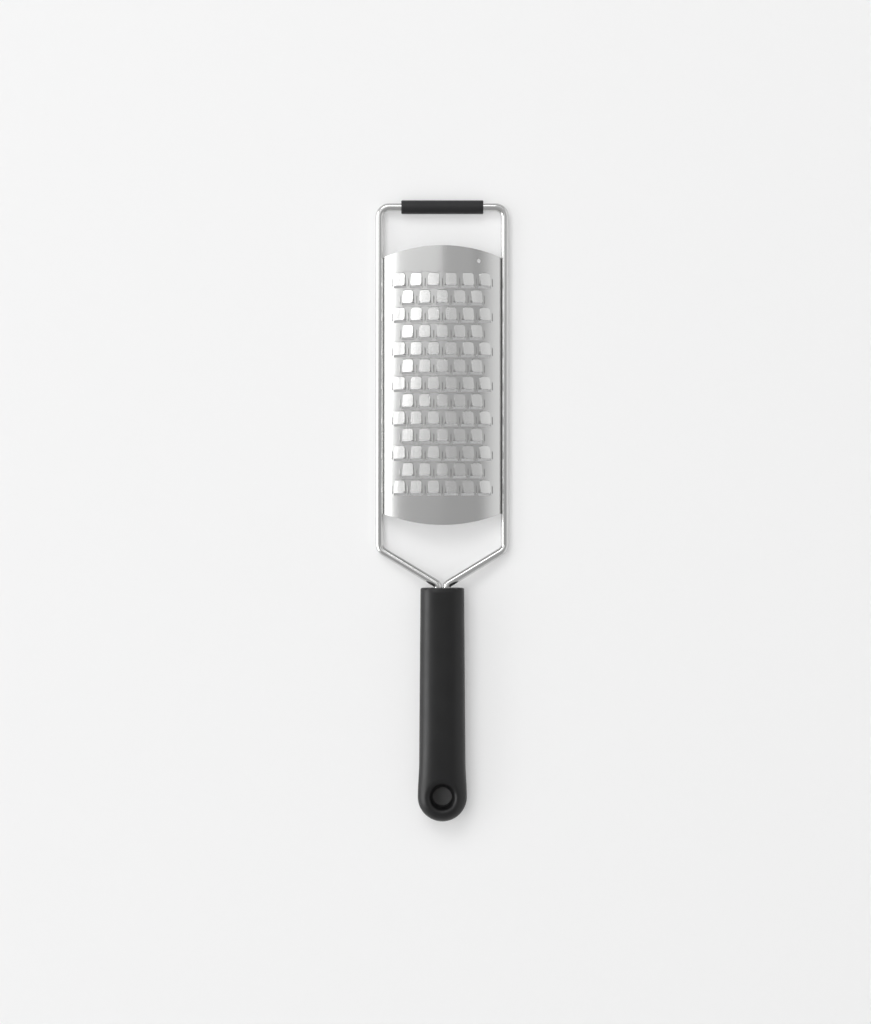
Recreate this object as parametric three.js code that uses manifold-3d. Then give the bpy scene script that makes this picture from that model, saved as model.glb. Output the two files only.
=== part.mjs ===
// Coarse hand grater: a bent wire frame, an arched blade with lanced teeth,
// a rubber tip sleeve and a moulded handle.
// Millimetres, +Z up. The grater lies on its sleeve and handle with the teeth up.
// +Y runs along the tool towards the tip. The origin is on the resting plane, under the middle of the tool.
import * as THREE from "three";
import { mergeVertices } from "three/addons/utils/BufferGeometryUtils.js";
import Module from "manifold-3d";

const wasm = await Module();
wasm.setup();

// Driving dimensions
const overallLength = 310;
const frameWidth = 66.6; // outside the wires
const wireDiameter = 4;
const tipBendRadius = 4.8; // to the wire's centreline
const shoulderBendRadius = 4.6; // where the long sides turn in to the handle
const tangBendRadius = 2.4; // where the two wires turn into the handle
const armDrop = 19.1; // along Y, from the shoulders' corners to the handle's end face
const armStandOff = 1.6; // where the arms' lines meet the tangs' lines, in front of the handle
const tangLength = 68; // wire inside the handle
const seatGap = 0.3; // clearance between pieces that seat on each other

const sleeveLength = 41;
const sleeveDiameter = 6.9;
const sleeveEdgeRound = 0.5;

const sheetThickness = 0.6;
const bladeLength = 139; // on the centreline
const bladeEndRise = 5.5; // how far the rounded ends bulge past the corners
const bladeTipGap = 19.8; // between the tip wire's centreline and the blade's end
const archRadius = 58; // to the middle of the sheet
const kneeHeight = 1.7; // centres of the sheet's two knees above the wires' centrelines
const kneeRadius = 1.1;
const curlAngle = 75; // degrees that the sheet's edge runs on round the wire, below its centreline
const keyHoleDiameter = 1.7;
const keyHoleAcross = 18.2;
const keyHoleFromEnd = 7.6;

const toothRows = 13;
const teethInWideRow = 6;
const toothPitch = 8.6; // across, and from row to row
const toothLength = 6.8; // from a hood's root to its lip
const toothRootWidth = 6.3; // on the sheet, at the root
const toothLipWidth = 7.7; // on the sheet, at the lip
const toothTopWidth = 5.5;
const toothRampLength = 0.9;
const toothRampHeight = 0.45;
const toothLipHeight = 1.9;
const toothShoulder = 0.4; // rounding of the hood's two upper edges
const toothShoulderShare = 0.4; // most of the hood's height that the rounding takes
const toothShoulderFlare = 0.3; // how far the rounding stands out, as a share of itself
const rowBridge = 0.4; // sheet left between a lip's open slot and the next row's roots
const firstRowFromEnd = 16.6; // from the blade's tip end to the middle of the first row

const handleLength = 116.4;
const handleNeckWidth = 21.8;
const handleWaistWidth = 23.1;
const handleEndWidth = 24.6;
const handleThickness = 18;
const handleTailThickness = 15.5;
const handleEdgeRound = 1;
const handleTaperLength = 32; // over which the grip thins towards the tail
const handleFlareLength = 18; // over which it widens to the tail
const handleFullness = 2.35; // power of the section's oval: 2 is an ellipse
const tailRoundPower = 4; // how late the tail's faces turn down to its end
const tailRoundShape = 0.4; // how blunt that turn is
const hangingHoleDiameter = 9.4;
const hangingHoleMouth = 15;
const hangingHoleFlare = 6.5; // depth of the rounded mouth

// Facets
const wireSides = 16;
const bendStep = 12; // degrees of bend between two rings of the wire
const sleeveSides = 24;
const archSteps = 22;
const kneeSteps = 4;
const curlSteps = 6;
const endSteps = 16;
const handleSides = 32;
const edgeSteps = 3;
const taperSteps = 9;
const tailSteps = 10;
const tailEndAngle = 86; // degrees round the tail at its last ring, which closes flat
const holeSides = 32;
const flareSteps = 6;
const socketSteps = 10;
const keyHoleSides = 12;

// Places that follow from the driving dimensions
const wireRadius = wireDiameter / 2;
const sleeveRadius = sleeveDiameter / 2;
const frameHeight = sleeveRadius * Math.cos(Math.PI / sleeveSides); // a flat facet of the sleeve lies on Z 0
const sideAcross = frameWidth / 2 - wireRadius;
const tipAlong = overallLength / 2 - sleeveRadius;
const handleFront = -overallLength / 2 + handleLength;
const shoulderAlong = handleFront + armDrop;
const handleHeight = handleThickness / 2;
const tangAcross = wireRadius + seatGap / 2;
const bladeTip = tipAlong - bladeTipGap;
const slotLength = toothPitch - toothLength - rowBridge;
const tailRadius = handleEndWidth / 2;
const tailCentre = -overallLength / 2 + tailRadius;
const taperStart = tailCentre + handleTaperLength;
const flareStart = tailCentre + handleFlareLength;

const steel = new THREE.MeshStandardMaterial({ color: 0xc9c9c8, roughness: 0.28, metalness: 1 });
const wireSteel = new THREE.MeshStandardMaterial({ color: 0xd2d2d1, roughness: 0.2, metalness: 1 });
const handlePlastic = new THREE.MeshStandardMaterial({ color: 0x2b2b2c, roughness: 0.55, metalness: 0 });
const sleeveRubber = new THREE.MeshStandardMaterial({ color: 0x262627, roughness: 0.75, metalness: 0 });

// Solids

function toSolid(geometry) {
  const bare = geometry.clone();
  bare.deleteAttribute("normal");
  bare.deleteAttribute("uv");
  const merged = mergeVertices(bare, 1e-4);
  return new wasm.Manifold(
    new wasm.Mesh({
      numProp: 3,
      vertProperties: new Float32Array(merged.attributes.position.array),
      triVerts: new Uint32Array(merged.index.array),
    }),
  );
}

function toGeometry(solid) {
  const mesh = solid.getMesh();
  const geometry = new THREE.BufferGeometry();
  geometry.setAttribute("position", new THREE.BufferAttribute(mesh.vertProperties, 3));
  geometry.setIndex(new THREE.BufferAttribute(mesh.triVerts, 1));
  geometry.computeVertexNormals();
  return geometry;
}

// A closed skin through rings of equal count.
// Each ring runs anticlockwise seen from the side that the next ring lies on.
function loft(rings) {
  const count = rings[0].length;
  const points = rings.flat();
  const faces = [];
  for (let ring = 0; ring + 1 < rings.length; ring++) {
    for (let side = 0; side < count; side++) {
      const next = (side + 1) % count;
      const a = ring * count + side;
      const b = ring * count + next;
      faces.push(a, b, a + count, b, b + count, a + count);
    }
  }
  const last = (rings.length - 1) * count;
  for (let side = 1; side + 1 < count; side++) {
    faces.push(0, side + 1, side);
    faces.push(last, last + side, last + side + 1);
  }
  const geometry = new THREE.BufferGeometry().setFromPoints(points);
  geometry.setIndex(faces);
  return geometry;
}

// A flat outline in X and Z, run along Y from one place to another.
function alongY(shape, from, to, curveSegments) {
  const geometry = new THREE.ExtrudeGeometry(shape, { depth: to - from, bevelEnabled: false, curveSegments });
  geometry.rotateX(Math.PI / 2);
  geometry.translate(0, to, 0);
  return geometry;
}

function named(name, geometry, material) {
  const mesh = new THREE.Mesh(geometry, material);
  mesh.name = name;
  return mesh;
}

// Frame wire: one rod, bent at the tip, at the shoulders and at the handle

// A path of straight runs whose rings lie only at its ends and through its bends.
class WirePath extends THREE.Curve {
  constructor(knots, tangents) {
    super();
    this.knots = knots;
    this.tangents = tangents;
  }

  get steps() {
    return this.knots.length - 1;
  }

  getPoint(t) {
    return this.knots[Math.round(t * this.steps)].clone();
  }

  getPointAt(u) {
    return this.getPoint(u);
  }

  getTangentAt(u) {
    return this.tangents[Math.round(u * this.steps)].clone();
  }
}

// Rounds each corner of a polyline with an arc of that corner's own radius.
function bentPath(corners) {
  const knots = [corners[0].at];
  const tangents = [corners[1].at.clone().sub(corners[0].at).normalize()];
  for (let i = 1; i + 1 < corners.length; i++) {
    const corner = corners[i].at;
    const incoming = corner.clone().sub(corners[i - 1].at).normalize();
    const outgoing = corners[i + 1].at.clone().sub(corner).normalize();
    const turn = incoming.angleTo(outgoing);
    const setBack = corners[i].radius * Math.tan(turn / 2);
    const inward = outgoing.clone().sub(incoming).normalize();
    const centre = corner.clone().addScaledVector(inward, corners[i].radius / Math.cos(turn / 2));
    const spoke = corner.clone().addScaledVector(incoming, -setBack).sub(centre);
    const axis = incoming.clone().cross(outgoing).normalize();
    const steps = Math.ceil(THREE.MathUtils.radToDeg(turn) / bendStep);
    for (let step = 0; step <= steps; step++) {
      const angle = (turn * step) / steps;
      knots.push(spoke.clone().applyAxisAngle(axis, angle).add(centre));
      tangents.push(incoming.clone().applyAxisAngle(axis, angle));
    }
  }
  const end = corners[corners.length - 1].at;
  knots.push(end);
  tangents.push(end.clone().sub(corners[corners.length - 2].at).normalize());
  return new WirePath(knots, tangents);
}

function frameWire() {
  const tangEnd = handleFront - tangLength;
  const half = [
    { at: new THREE.Vector3(tangAcross, tangEnd, handleHeight) },
    { at: new THREE.Vector3(tangAcross, handleFront + armStandOff, handleHeight), radius: tangBendRadius },
    { at: new THREE.Vector3(sideAcross, shoulderAlong, frameHeight), radius: shoulderBendRadius },
    { at: new THREE.Vector3(sideAcross, tipAlong, frameHeight), radius: tipBendRadius },
  ];
  const mirrored = half.map(({ at, radius }) => ({ at: new THREE.Vector3(-at.x, at.y, at.z), radius }));
  const path = bentPath([...half, ...mirrored.reverse()]);
  const section = new THREE.Shape();
  section.absarc(0, 0, wireRadius, 0, 2 * Math.PI, false);
  return new THREE.ExtrudeGeometry(section, {
    steps: path.steps,
    curveSegments: wireSides / 2, // an arc is drawn with twice as many sides
    extrudePath: path,
    bevelEnabled: false,
  });
}

// Tip sleeve: a rubber tube on the frame's tip bar

function tipSleeve() {
  const bore = wireRadius + seatGap;
  const end = sleeveLength / 2;
  const profile = [
    new THREE.Vector2(bore, -end),
    new THREE.Vector2(sleeveRadius - sleeveEdgeRound, -end),
    new THREE.Vector2(sleeveRadius, -end + sleeveEdgeRound),
    new THREE.Vector2(sleeveRadius, end - sleeveEdgeRound),
    new THREE.Vector2(sleeveRadius - sleeveEdgeRound, end),
    new THREE.Vector2(bore, end),
    new THREE.Vector2(bore, -end),
  ];
  const tube = new THREE.LatheGeometry(profile, sleeveSides);
  tube.rotateY(Math.PI / sleeveSides); // a facet, and not an edge, faces down
  tube.rotateZ(Math.PI / 2);
  tube.translate(0, tipAlong, frameHeight);
  return toGeometry(toSolid(tube));
}

// Blade: an arched sheet whose long edges curl under the wires, with rows of lanced hoods

const curlRadius = wireRadius + seatGap + sheetThickness / 2; // to the middle of the sheet
const kneeAcross = sideAcross - curlRadius;
const archReach = Math.asin((kneeAcross - kneeRadius) / (archRadius - kneeRadius));
const kneeCentreHeight = frameHeight + kneeHeight;
const archCentre = kneeCentreHeight - (archRadius - kneeRadius) * Math.cos(archReach);

function arcPoints(centreX, centreZ, radius, from, to, steps) {
  return Array.from({ length: steps + 1 }, (_, step) => {
    const angle = from + ((to - from) * step) / steps;
    return new THREE.Vector2(centreX + radius * Math.cos(angle), centreZ + radius * Math.sin(angle));
  });
}

// The middle line of the sheet's section, from the crown to the end of the right-hand curl.
function sheetHalfLine() {
  const arch = arcPoints(0, archCentre, archRadius, Math.PI / 2, Math.PI / 2 - archReach, archSteps / 2);
  const kneeStart = Math.PI / 2 - archReach;
  const knee = arcPoints(kneeAcross - kneeRadius, kneeCentreHeight, kneeRadius, kneeStart, 0, kneeSteps);
  const down = THREE.MathUtils.degToRad(curlAngle);
  const curl = arcPoints(sideAcross, frameHeight, curlRadius, Math.PI, Math.PI + down, curlSteps);
  return [...arch, ...knee.slice(1), ...curl];
}

// A strip of even thickness along a middle line.
function ribbon(line, thickness) {
  const normals = line.map((point, i) => {
    const before = line[Math.max(i - 1, 0)];
    const after = line[Math.min(i + 1, line.length - 1)];
    const along = after.clone().sub(before).normalize();
    return new THREE.Vector2(-along.y, along.x);
  });
  const upper = line.map((point, i) => point.clone().addScaledVector(normals[i], thickness / 2));
  const lower = line.map((point, i) => point.clone().addScaledVector(normals[i], -thickness / 2));
  return new THREE.Shape([...lower, ...upper.reverse()]);
}

function archedSheet() {
  const right = sheetHalfLine();
  const left = right.slice(1).map((point) => new THREE.Vector2(-point.x, point.y));
  const section = ribbon([...left.reverse(), ...right], sheetThickness);
  const strip = alongY(section, bladeTip - bladeLength, bladeTip, 1);
  return toSolid(strip).intersect(toSolid(bladeOutline()));
}

// The blade's outline seen from above, with both ends cut to an arc, as a tall block.
function bladeOutline() {
  const edge = kneeAcross + sheetThickness / 2;
  const endRadius = (edge * edge) / (2 * bladeEndRise) + bladeEndRise / 2;
  const reach = Math.asin(sideAcross / endRadius); // past the curled edges, which end under the wires
  const outline = new THREE.Shape();
  outline.absarc(0, bladeTip - endRadius, endRadius, Math.PI / 2 - reach, Math.PI / 2 + reach, false);
  const heel = bladeTip - bladeLength + endRadius;
  outline.absarc(0, heel, endRadius, -Math.PI / 2 - reach, -Math.PI / 2 + reach, false);
  const crown = archCentre + archRadius;
  const floor = frameHeight - 2 * curlRadius;
  const depth = crown + sheetThickness - floor;
  const block = new THREE.ExtrudeGeometry(outline, { depth, bevelEnabled: false, curveSegments: endSteps });
  block.translate(0, 0, floor);
  return block;
}

// One ring of a hood: a low arch with rounded shoulders, standing on a skirt that reaches into the sheet.
function hoodRing(along, baseHalf, topHalf, height, skirt) {
  const shoulderDrop = THREE.MathUtils.clamp(height * toothShoulderShare, 0, toothShoulder);
  const flare = toothShoulder * toothShoulderFlare;
  const slope = (baseHalf - topHalf) * (shoulderDrop / (height + skirt)) + flare;
  return [
    [-baseHalf, -skirt],
    [baseHalf, -skirt],
    [topHalf + slope, height - shoulderDrop],
    [topHalf - toothShoulder, height],
    [-topHalf + toothShoulder, height],
    [-topHalf - slope, height - shoulderDrop],
  ].map(([across, up]) => new THREE.Vector3(across, along, up));
}

// The outside of a hood: flush at its root, a short ramp, then an even rise to the cutting lip.
function hoodOutside() {
  const root = toothLength / 2;
  const rootBase = toothRootWidth / 2;
  const lipBase = toothLipWidth / 2;
  const top = toothTopWidth / 2;
  const skirt = sheetThickness / 2;
  return loft([
    hoodRing(root, rootBase, top, 0, skirt),
    hoodRing(root - toothRampLength, rootBase, top, toothRampHeight, skirt),
    hoodRing(-root, lipBase, top, toothLipHeight, skirt),
  ]);
}

// The hollow under a hood, open below through the sheet and in front through the lip's mouth and slot.
function hoodHollow() {
  const root = toothLength / 2 - sheetThickness;
  const rootBase = toothRootWidth / 2 - sheetThickness;
  const lipBase = toothLipWidth / 2 - sheetThickness;
  const top = toothTopWidth / 2 - sheetThickness / 2;
  const below = 2 * sheetThickness;
  const lip = -toothLength / 2;
  const roof = toothLipHeight - sheetThickness;
  return loft([
    hoodRing(root, rootBase, top, -sheetThickness / 2, below),
    hoodRing(root - toothRampLength, rootBase, top, toothRampHeight - sheetThickness, below),
    hoodRing(lip, lipBase, top, roof, below),
    hoodRing(lip - slotLength, lipBase, top, roof, below),
  ]);
}

// Where each tooth stands: its place along the arch, as an angle from the crown, and along the tool.
function toothPlaces() {
  const skin = archRadius + sheetThickness / 2;
  const places = [];
  for (let row = 0; row < toothRows; row++) {
    const count = teethInWideRow - (row % 2);
    for (let tooth = 0; tooth < count; tooth++) {
      places.push({
        turn: ((tooth - (count - 1) / 2) * toothPitch) / skin,
        along: bladeTip - firstRowFromEnd - row * toothPitch,
      });
    }
  }
  return places;
}

function onArch(geometry, place) {
  const placed = geometry.clone();
  placed.translate(0, 0, archRadius + sheetThickness / 2);
  placed.rotateY(place.turn);
  placed.translate(0, place.along, archCentre);
  return toSolid(placed);
}

function keyHole() {
  const radius = keyHoleDiameter / 2;
  const drill = new THREE.CylinderGeometry(radius, radius, 8 * sheetThickness, keyHoleSides);
  drill.rotateX(Math.PI / 2);
  return onArch(drill, {
    turn: Math.asin(keyHoleAcross / archRadius),
    along: bladeTip - keyHoleFromEnd,
  });
}

function graterBlade() {
  const places = toothPlaces();
  const outside = hoodOutside();
  const hollow = hoodHollow();
  const hoods = wasm.Manifold.union(places.map((place) => onArch(outside, place)));
  const hollows = wasm.Manifold.union(places.map((place) => onArch(hollow, place)));
  return toGeometry(archedSheet().add(hoods).subtract(hollows).subtract(keyHole()));
}

// Handle: a moulded grip with a rounded tail, a flared hanging hole and a socket for the two wire ends

const smooth = (t) => t * t * (3 - 2 * t);

// Half the handle's width at a place along it: a slow swell, a flare to the tail, then a round end.
function handleHalfWidth(along) {
  if (along >= flareStart) {
    const swell = (handleFront - along) / (handleFront - flareStart);
    return THREE.MathUtils.lerp(handleNeckWidth, handleWaistWidth, swell) / 2;
  }
  if (along >= tailCentre) {
    const flare = smooth((flareStart - along) / (flareStart - tailCentre));
    return THREE.MathUtils.lerp(handleWaistWidth, handleEndWidth, flare) / 2;
  }
  return Math.sqrt(Math.max(tailRadius ** 2 - (tailCentre - along) ** 2, 0));
}

// Half the thickness: even along the grip, thinner at the tail, rounded off at the end.
function handleHalfThickness(along) {
  const taper = smooth(THREE.MathUtils.clamp((taperStart - along) / (taperStart - tailCentre), 0, 1));
  const half = THREE.MathUtils.lerp(handleThickness, handleTailThickness, taper) / 2;
  const past = Math.max(tailCentre - along, 0) / tailRadius;
  return half * Math.max(1 - past ** tailRoundPower, 0) ** tailRoundShape;
}

// A ring of the handle's section, a rounded oval with a flat facet underneath.
function handleRing(along, inset) {
  const width = handleHalfWidth(along) - inset;
  const thickness = handleHalfThickness(along) - inset;
  const power = 2 / handleFullness;
  const top = Math.cos(Math.PI / handleSides) ** power; // height of the facet that lies underneath
  return Array.from({ length: handleSides }, (_, side) => {
    const angle = ((side + 0.5) / handleSides) * 2 * Math.PI;
    const across = Math.cos(angle);
    const up = Math.sin(angle);
    return new THREE.Vector3(
      width * Math.sign(across) * Math.abs(across) ** power,
      along,
      handleHeight + (thickness * Math.sign(up) * Math.abs(up) ** power) / top,
    );
  });
}

function handleBlank() {
  const rings = [];
  for (let step = 0; step <= edgeSteps; step++) {
    const angle = (step / edgeSteps) * (Math.PI / 2);
    rings.push(handleRing(
      handleFront - handleEdgeRound * (1 - Math.sin(angle)),
      handleEdgeRound * (1 - Math.sin(Math.PI / 2 - angle)),
    ));
  }
  rings.reverse();
  for (let step = 0; step <= taperSteps; step++) {
    rings.push(handleRing(THREE.MathUtils.lerp(taperStart, tailCentre, step / taperSteps), 0));
  }
  const tailEnd = THREE.MathUtils.degToRad(tailEndAngle);
  for (let step = 1; step <= tailSteps; step++) {
    rings.push(handleRing(tailCentre - tailRadius * Math.sin((step / tailSteps) * tailEnd), 0));
  }
  return loft(rings);
}

function hangingHole() {
  const neck = hangingHoleDiameter / 2;
  const flareOut = (hangingHoleMouth - hangingHoleDiameter) / 2;
  const face = handleTailThickness / 2;
  const beyond = handleThickness;
  const upper = Array.from({ length: flareSteps + 1 }, (_, step) => {
    const angle = (step / flareSteps) * (Math.PI / 2);
    return new THREE.Vector2(
      neck + flareOut * (1 - Math.cos(angle)),
      face - hangingHoleFlare * (1 - Math.sin(angle)),
    );
  });
  const lower = upper.map((point) => new THREE.Vector2(point.x, -point.y)).reverse();
  const mouth = neck + flareOut;
  const cutter = new THREE.LatheGeometry(
    [
      new THREE.Vector2(0, -beyond),
      new THREE.Vector2(mouth, -beyond),
      ...lower,
      ...upper,
      new THREE.Vector2(mouth, beyond),
      new THREE.Vector2(0, beyond),
    ],
    holeSides,
  );
  cutter.rotateX(Math.PI / 2);
  cutter.translate(0, tailCentre, handleHeight);
  return cutter;
}

function tangSocket() {
  const radius = wireRadius + seatGap;
  const slot = new THREE.Shape();
  slot.absarc(tangAcross, handleHeight, radius, -Math.PI / 2, Math.PI / 2, false);
  slot.absarc(-tangAcross, handleHeight, radius, Math.PI / 2, (3 * Math.PI) / 2, false);
  return alongY(slot, handleFront - tangLength - seatGap, handleFront + wireDiameter, socketSteps);
}

function handle() {
  return toGeometry(
    toSolid(handleBlank()).subtract(toSolid(hangingHole())).subtract(toSolid(tangSocket())),
  );
}

const grater = new THREE.Group();
grater.name = "coarse_grater";
grater.add(
  named("frame_wire", toGeometry(toSolid(frameWire())), wireSteel),
  named("grater_blade", graterBlade(), steel),
  named("tip_sleeve", tipSleeve(), sleeveRubber),
  named("handle", handle(), handlePlastic),
);

export default grater;
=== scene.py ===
import math

import bmesh
import bpy
import numpy as np
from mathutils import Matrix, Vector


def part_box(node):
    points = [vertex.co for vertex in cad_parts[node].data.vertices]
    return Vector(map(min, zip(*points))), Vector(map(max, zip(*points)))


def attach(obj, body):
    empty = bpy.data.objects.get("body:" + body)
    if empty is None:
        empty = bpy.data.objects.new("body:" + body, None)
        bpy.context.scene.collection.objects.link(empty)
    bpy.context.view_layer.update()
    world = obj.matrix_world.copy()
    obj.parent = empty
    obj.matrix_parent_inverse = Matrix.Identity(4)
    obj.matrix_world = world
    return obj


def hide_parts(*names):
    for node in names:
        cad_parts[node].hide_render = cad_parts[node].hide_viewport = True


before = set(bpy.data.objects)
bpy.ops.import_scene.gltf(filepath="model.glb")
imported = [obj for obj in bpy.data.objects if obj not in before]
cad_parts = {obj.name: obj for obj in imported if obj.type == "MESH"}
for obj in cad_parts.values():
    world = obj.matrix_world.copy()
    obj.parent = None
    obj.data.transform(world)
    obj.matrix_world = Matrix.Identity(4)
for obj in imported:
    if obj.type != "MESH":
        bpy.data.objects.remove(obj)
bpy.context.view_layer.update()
mm = 0.001


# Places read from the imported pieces, in millimetres

def boxOf(node):
    low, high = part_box(node)
    return np.array(low) / mm, np.array(high) / mm


wireLow, wireHigh = boxOf("frame_wire")
sleeveLow, sleeveHigh = boxOf("tip_sleeve")
handleLow, handleHigh = boxOf("handle")

frameHeight = (sleeveLow[2] + sleeveHigh[2]) / 2
tipAlong = (sleeveLow[1] + sleeveHigh[1]) / 2
handleFront = handleHigh[1]
handleHeight = (handleLow[2] + handleHigh[2]) / 2


# Small helpers

def meshObject(name, verts, faces):
    mesh = bpy.data.meshes.new(name)
    mesh.from_pydata([tuple(v) for v in verts], [], faces)
    mesh.update()
    obj = bpy.data.objects.new(name, mesh)
    bpy.context.scene.collection.objects.link(obj)
    return obj


def settle(obj, sharpAngle):
    # what the modifiers show becomes the piece's plain mesh
    graph = bpy.context.evaluated_depsgraph_get()
    mesh = bpy.data.meshes.new_from_object(obj.evaluated_get(graph), depsgraph=graph)
    obj.modifiers.clear()
    if obj.type == "MESH":
        obj.data = mesh
        piece = obj
    else:
        name = obj.name
        bpy.data.objects.remove(obj)
        piece = bpy.data.objects.new(name, mesh)
        bpy.context.scene.collection.objects.link(piece)
    mesh.shade_smooth()
    mesh.set_sharp_from_angle(angle=math.radians(sharpAngle))
    return piece


def faceOutwards(obj):
    work = bmesh.new()
    work.from_mesh(obj.data)
    bmesh.ops.recalc_face_normals(work, faces=work.faces)
    work.to_mesh(obj.data)
    work.free()


def dropHelper(obj):
    data = obj.data
    bpy.data.objects.remove(obj)
    if isinstance(data, bpy.types.Mesh):
        bpy.data.meshes.remove(data)
    else:
        bpy.data.curves.remove(data)


def newTree(name, inputs):
    tree = bpy.data.node_groups.new(name, "GeometryNodeTree")
    tree.interface.new_socket("Geometry", in_out="INPUT", socket_type="NodeSocketGeometry")
    ids = {}
    for label, kind in inputs.items():
        ids[label] = tree.interface.new_socket(label, in_out="INPUT", socket_type=kind).identifier
    tree.interface.new_socket("Geometry", in_out="OUTPUT", socket_type="NodeSocketGeometry")
    return tree, ids


class Wiring:
    # adds nodes to a tree and links what they are given
    def __init__(self, tree):
        self.tree = tree

    def add(self, kind, given=None, **settings):
        node = self.tree.nodes.new(kind)
        for key, value in settings.items():
            setattr(node, key, value)
        for socket, value in (given or {}).items():
            self.feed(node.inputs[socket], value)
        return node

    def feed(self, socket, value):
        if isinstance(value, bpy.types.NodeSocket):
            self.tree.links.new(value, socket)
        else:
            socket.default_value = value

    def math(self, operation, first, second=0.0):
        return self.add("ShaderNodeMath", {0: first, 1: second}, operation=operation).outputs[0]

    def placeParts(self):
        place = self.add("GeometryNodeInputPosition").outputs[0]
        return self.add("ShaderNodeSeparateXYZ", {0: place}).outputs

    def mark(self, geometry, name, value):
        given = {"Geometry": geometry, "Name": name, "Value": value}
        return self.add("GeometryNodeStoreNamedAttribute", given, data_type="FLOAT").outputs[0]

    def vector(self, operation, first, second):
        return self.add("ShaderNodeVectorMath", {0: first, 1: second}, operation=operation).outputs[0]


def runTree(obj, tree, ids, values):
    modifier = obj.modifiers.new(tree.name, "NODES")
    modifier.node_group = tree
    for label, value in values.items():
        modifier[ids[label]] = value


# Materials, all on Object coordinates or on the piece's own attributes

def newMaterial(name):
    material = bpy.data.materials.new(name)
    material.use_nodes = True
    wiring = Wiring(material.node_tree)
    shader = material.node_tree.nodes["Principled BSDF"]
    return material, wiring, shader


evenStretch = (1.0, 1.0, 1.0)


def stretchedNoise(wiring, coords, stretch, scale, detail=3.0):
    scaled = wiring.add("ShaderNodeMapping", {"Vector": coords, "Scale": stretch}).outputs[0]
    noise = wiring.add("ShaderNodeTexNoise", {"Vector": scaled, "Scale": scale, "Detail": detail})
    return noise.outputs["Fac"]


noiseRange = (0.3, 0.7)     # where most of a noise lies


def mixColour(wiring, share, first, second):
    # a Mix node's colour sockets go by number
    return wiring.add("ShaderNodeMix", {0: share, 6: first, 7: second}, data_type="RGBA").outputs[2]


def smoothShare(wiring, value, none, full):
    given = {"Value": value, "From Min": none, "From Max": full}
    return wiring.add("ShaderNodeMapRange", given, interpolation_type="SMOOTHSTEP").outputs[0]


def surface(wiring, shader, look, roughBy, grainBy):
    # roughness and fine relief, each led by a noise
    low, high = noiseRange
    smooth, rough = look["roughness"]
    given = {"Value": roughBy, "From Min": low, "From Max": high, "To Min": smooth, "To Max": rough}
    wiring.feed(shader.inputs["Roughness"], wiring.add("ShaderNodeMapRange", given).outputs[0])
    given = {"Height": grainBy, "Strength": look["grain"], "Distance": look["grainDepth"] * mm}
    wiring.feed(shader.inputs["Normal"], wiring.add("ShaderNodeBump", given).outputs[0])


def bladeSteel():
    look = {
        "colour": (0.66, 0.66, 0.655, 1),
        "roughness": (0.18, 0.22),
        "grain": 0.002,
        "grainDepth": 0.02,
        "lineStretch": (1.0, 0.03, 0.0),     # rolling lines run along the sheet
        "lineScale": 4000.0,
        "lineShare": 0.6,                    # the rest of the roughness is cloudy
        "cloudScale": 90.0,
    }
    material, wiring, shader = newMaterial("rolledBladeSteel")
    coords = wiring.add("ShaderNodeTexCoord").outputs["Object"]
    rolled = stretchedNoise(wiring, coords, look["lineStretch"], look["lineScale"])
    cloudy = stretchedNoise(wiring, coords, evenStretch, look["cloudScale"])
    lines = wiring.math("MULTIPLY", rolled, look["lineShare"])
    clouds = wiring.math("MULTIPLY", cloudy, 1 - look["lineShare"])
    surface(wiring, shader, look, wiring.math("ADD", lines, clouds), rolled)
    shader.inputs["Base Color"].default_value = look["colour"]
    shader.inputs["Metallic"].default_value = 1.0
    return material


def wireSteel():
    look = {
        "colour": (0.64, 0.64, 0.635, 1),
        "roughness": (0.14, 0.18),
        "grain": 0.003,
        "grainDepth": 0.05,
        "streaks": (60.0, 25.0, 1.0),        # left by the drawing die: round the wire, and along it
    }
    material, wiring, shader = newMaterial("drawnWireSteel")
    around = wiring.add("ShaderNodeAttribute", attribute_name="wireAround").outputs["Fac"]
    along = wiring.add("ShaderNodeAttribute", attribute_name="wireAlong").outputs["Fac"]
    place = wiring.add("ShaderNodeCombineXYZ", {"X": around, "Y": along}).outputs[0]
    drawn = stretchedNoise(wiring, place, look["streaks"], 1.0)
    surface(wiring, shader, look, drawn, drawn)
    shader.inputs["Base Color"].default_value = look["colour"]
    shader.inputs["Metallic"].default_value = 1.0
    return material


def handlePlastic():
    look = {
        "dark": (0.0035, 0.0035, 0.0038, 1),
        "light": (0.005, 0.005, 0.0053, 1),
        "roughness": (0.40, 0.48),
        "shine": 0.42,
        "grain": 0.12,
        "grainDepth": 0.05,
        "grainScale": 3200.0,                # spark-eroded mould texture
        "grainDetail": 2.0,
        "cloudScale": 120.0,
    }
    material, wiring, shader = newMaterial("softBlackPlastic")
    coords = wiring.add("ShaderNodeTexCoord").outputs["Object"]
    grain = stretchedNoise(wiring, coords, evenStretch, look["grainScale"], look["grainDetail"])
    cloudy = stretchedNoise(wiring, coords, evenStretch, look["cloudScale"])
    surface(wiring, shader, look, cloudy, grain)
    wiring.feed(shader.inputs["Base Color"], mixColour(wiring, cloudy, look["dark"], look["light"]))
    shader.inputs["Specular IOR Level"].default_value = look["shine"]
    return material


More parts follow.
